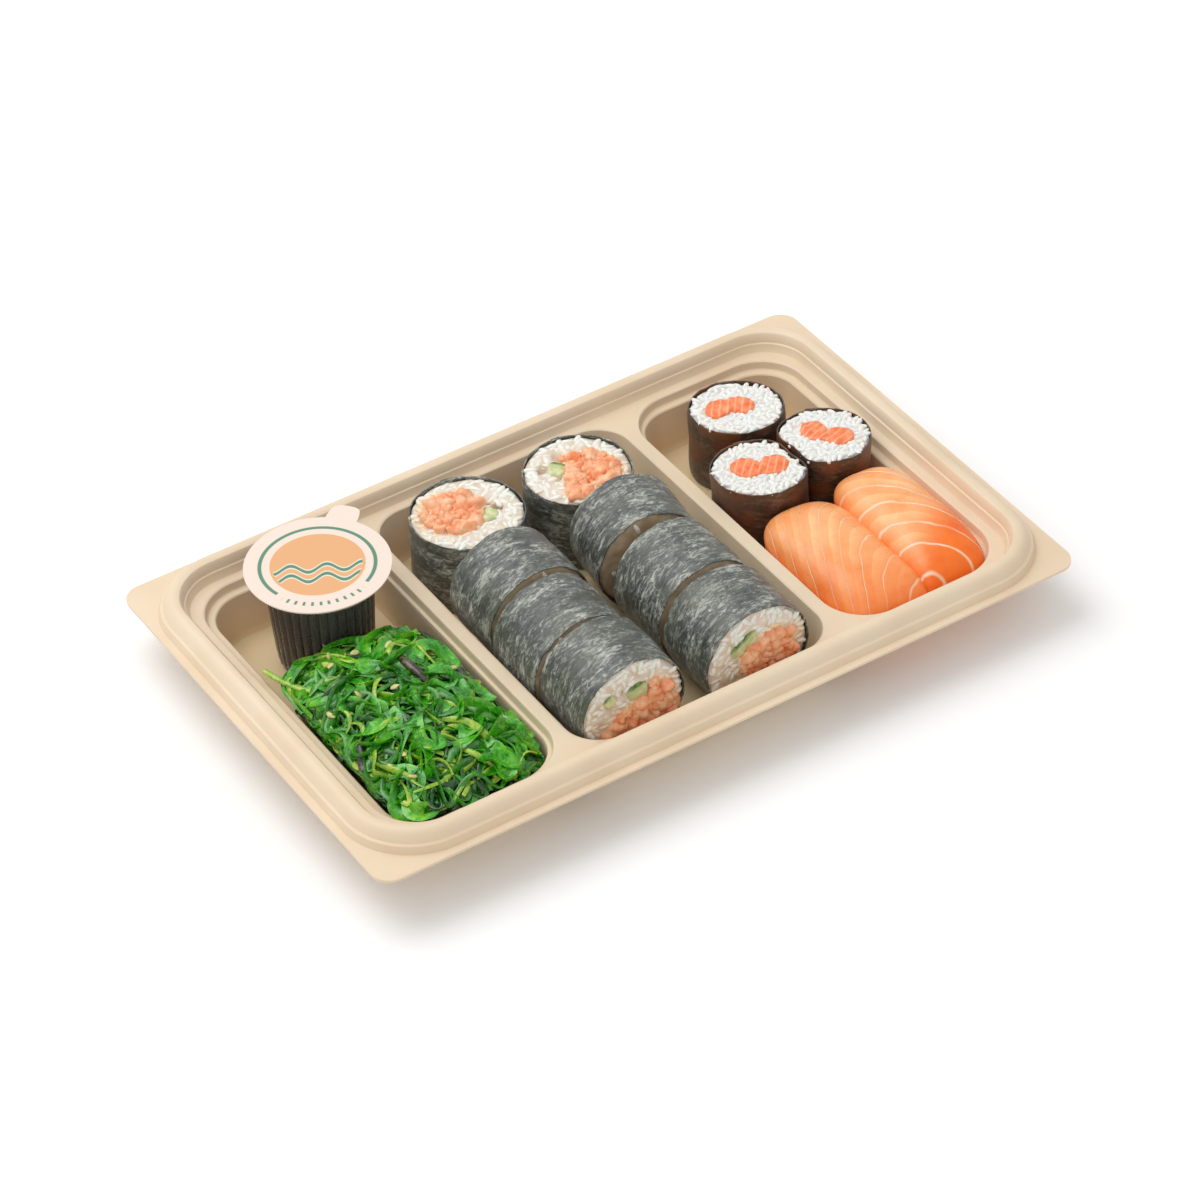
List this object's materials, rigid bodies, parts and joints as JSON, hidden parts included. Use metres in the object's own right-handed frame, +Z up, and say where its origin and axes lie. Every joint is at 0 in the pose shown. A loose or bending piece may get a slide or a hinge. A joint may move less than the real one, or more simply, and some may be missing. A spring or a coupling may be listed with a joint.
{
  "type": "takeaway sushi tray",
  "caption": "Shallow moulded takeaway tray with side by side compartments, filled with thick and thin sushi rolls, salmon pieces, seaweed salad and a lidded pot of sauce.",
  "frame": {"origin": "centre of the flat underside of the tray, on the surface it stands on", "axes": "+X along the tray from the salad compartment to the salmon pieces, +Y across it to the edge where the rolls stand on end, +Z up"},
  "size_m": [0.23, 0.1476, 0.0354],
  "materials": {
    "tray": "satin warm beige moulded sheet, darker on the inner walls",
    "cup": "thin clear fluted plastic, dark with the sauce behind it",
    "lid": "pale cream peel-off sheet with a tan round field and a green part ring, no lettering",
    "sauce": "near-black thin soy sauce",
    "seaweed": "wet bright and dark green strands with sesame seeds",
    "nori": "dark grey-green dried seaweed sheet with fine fibres, soft sheen",
    "rice": "moist white rice grains",
    "cucumber": "pale green moist strips with darker skin",
    "chopped_salmon": "moist pink-orange chopped fish",
    "salmon_slice": "raw salmon with paler fat lines, wet gloss"
  },
  "bodies": {
    "root": {"futomaki_1_cucumber": "cucumber", "futomaki_1_nori": "nori", "futomaki_1_rice": "rice", "futomaki_1_salmon": "chopped_salmon", "futomaki_2_cucumber": "cucumber", "futomaki_2_nori": "nori", "futomaki_2_rice": "rice", "futomaki_2_salmon": "chopped_salmon", "futomaki_3_cucumber": "cucumber", "futomaki_3_nori": "nori", "futomaki_3_rice": "rice", "futomaki_3_salmon": "chopped_salmon", "futomaki_4_cucumber": "cucumber", "futomaki_4_nori": "nori", "futomaki_4_rice": "rice", "futomaki_4_salmon": "chopped_salmon", "futomaki_5_cucumber": "cucumber", "futomaki_5_cucumber_end": "cucumber", "futomaki_5_nori": "nori", "futomaki_5_rice": "rice", "futomaki_5_salmon": "chopped_salmon", "futomaki_6_cucumber": "cucumber", "futomaki_6_nori": "nori", "futomaki_6_rice": "rice", "futomaki_6_salmon": "chopped_salmon", "futomaki_7_cucumber": "cucumber", "futomaki_7_nori": "nori", "futomaki_7_rice": "rice", "futomaki_7_salmon": "chopped_salmon", "futomaki_8_cucumber": "cucumber", "futomaki_8_nori": "nori", "futomaki_8_rice": "rice", "futomaki_8_salmon": "chopped_salmon", "hosomaki_1_nori": "nori", "hosomaki_1_rice": "rice", "hosomaki_1_salmon": "salmon_slice", "hosomaki_2_nori": "nori", "hosomaki_2_rice": "rice", "hosomaki_2_salmon": "salmon_slice", "hosomaki_3_nori": "nori", "hosomaki_3_rice": "rice", "hosomaki_3_salmon": "salmon_slice", "salmon_nigiri_1": "salmon_slice", "salmon_nigiri_2": "salmon_slice", "sauce": "sauce", "sauce_cup": "cup", "sauce_lid": "lid", "seaweed_salad": "seaweed", "tray": "tray"}
  },
  "joints": []
}
